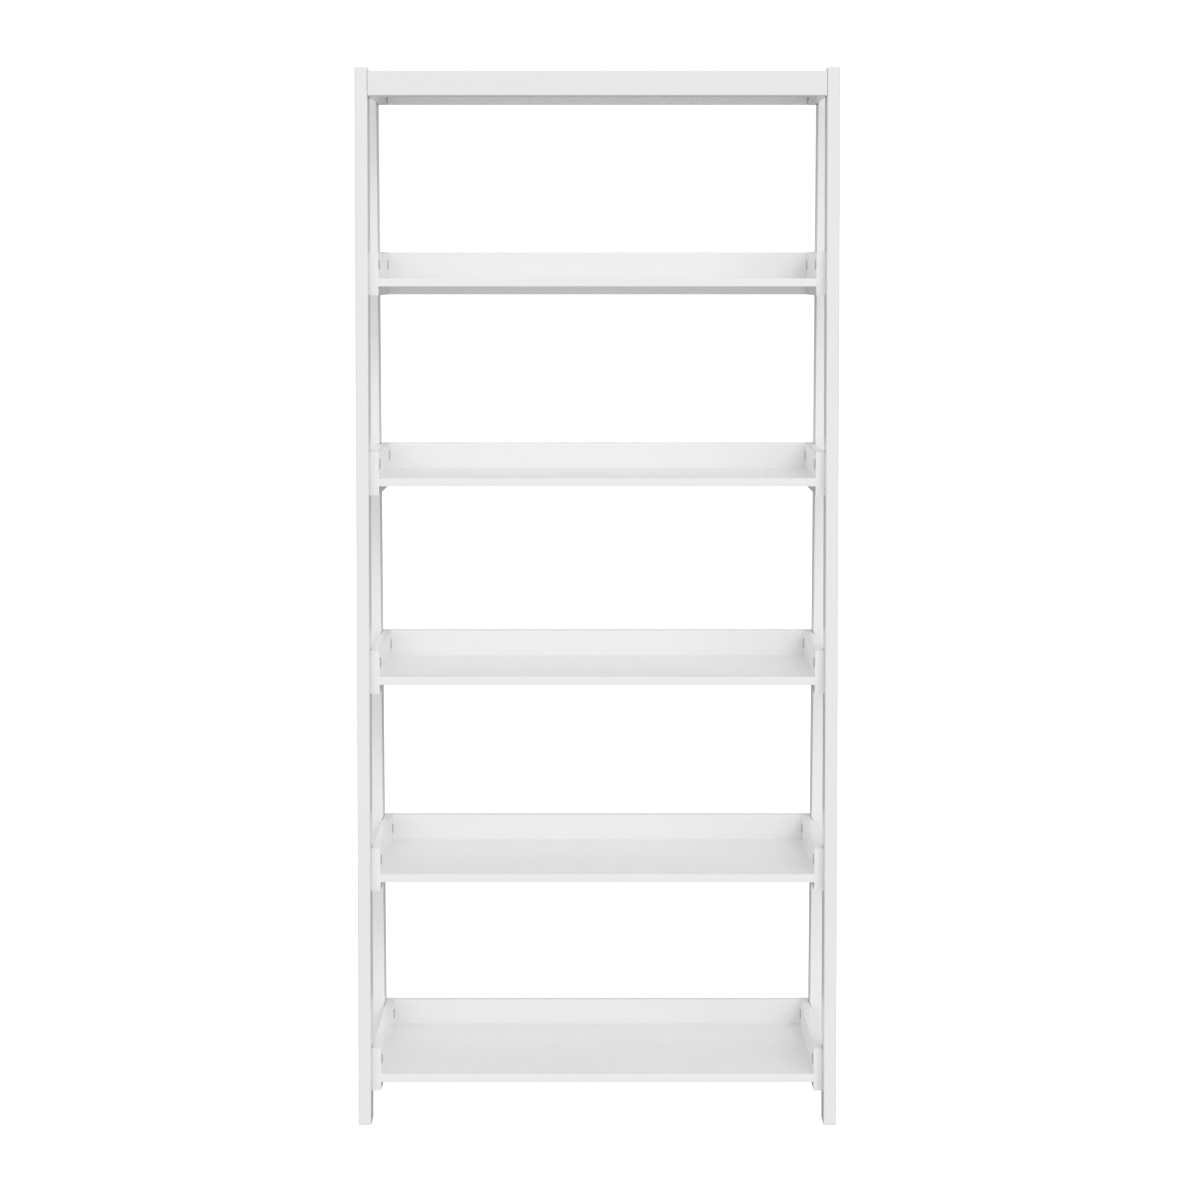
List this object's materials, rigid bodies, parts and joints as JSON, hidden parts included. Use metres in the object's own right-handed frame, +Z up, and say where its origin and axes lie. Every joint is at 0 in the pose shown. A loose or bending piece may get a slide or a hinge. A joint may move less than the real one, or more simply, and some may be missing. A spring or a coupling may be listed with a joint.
{
  "type": "ladder shelf",
  "caption": "Free-standing ladder shelf in white painted wood, with leaning front legs, upright rear legs, open trays that get deeper towards the floor, and a closed top.",
  "frame": {"origin": "on the floor, at the middle of the footprint of the four feet", "axes": "+Z up; +Y from the open front to the back, where the rear legs stand; +X to the right as seen from the front"},
  "size_m": [0.838, 0.356, 1.8399],
  "materials": {
    "painted_wood": "satin white paint",
    "dowel_wood": "bare beech",
    "bolt_steel": "satin nickel plate",
    "insert_steel": "zinc plate"
  },
  "bodies": {
    "root": {"front_leg_left": "painted_wood", "rear_leg_left": "painted_wood", "front_leg_right": "painted_wood", "rear_leg_right": "painted_wood", "tray_1_board": "painted_wood", "tray_1_side_left": "painted_wood", "tray_1_side_right": "painted_wood", "tray_1_back": "painted_wood", "tray_1_dowels": "dowel_wood", "tray_1_bolts": "bolt_steel", "tray_1_inserts": "insert_steel", "tray_2_board": "painted_wood", "tray_2_side_left": "painted_wood", "tray_2_side_right": "painted_wood", "tray_2_back": "painted_wood", "tray_2_dowels": "dowel_wood", "tray_2_bolts": "bolt_steel", "tray_2_inserts": "insert_steel", "tray_3_board": "painted_wood", "tray_3_side_left": "painted_wood", "tray_3_side_right": "painted_wood", "tray_3_back": "painted_wood", "tray_3_dowels": "dowel_wood", "tray_3_bolts": "bolt_steel", "tray_3_inserts": "insert_steel", "tray_4_board": "painted_wood", "tray_4_side_left": "painted_wood", "tray_4_side_right": "painted_wood", "tray_4_back": "painted_wood", "tray_4_dowels": "dowel_wood", "tray_4_bolts": "bolt_steel", "tray_4_inserts": "insert_steel", "tray_5_board": "painted_wood", "tray_5_side_left": "painted_wood", "tray_5_side_right": "painted_wood", "tray_5_back": "painted_wood", "tray_5_dowels": "dowel_wood", "tray_5_bolts": "bolt_steel", "tray_5_inserts": "insert_steel", "top_front_rail": "painted_wood", "top_side_left": "painted_wood", "top_side_right": "painted_wood", "top_back_rail": "painted_wood", "top_board": "painted_wood", "top_dowels": "dowel_wood", "top_bolts": "bolt_steel", "top_inserts": "insert_steel"}
  },
  "joints": []
}
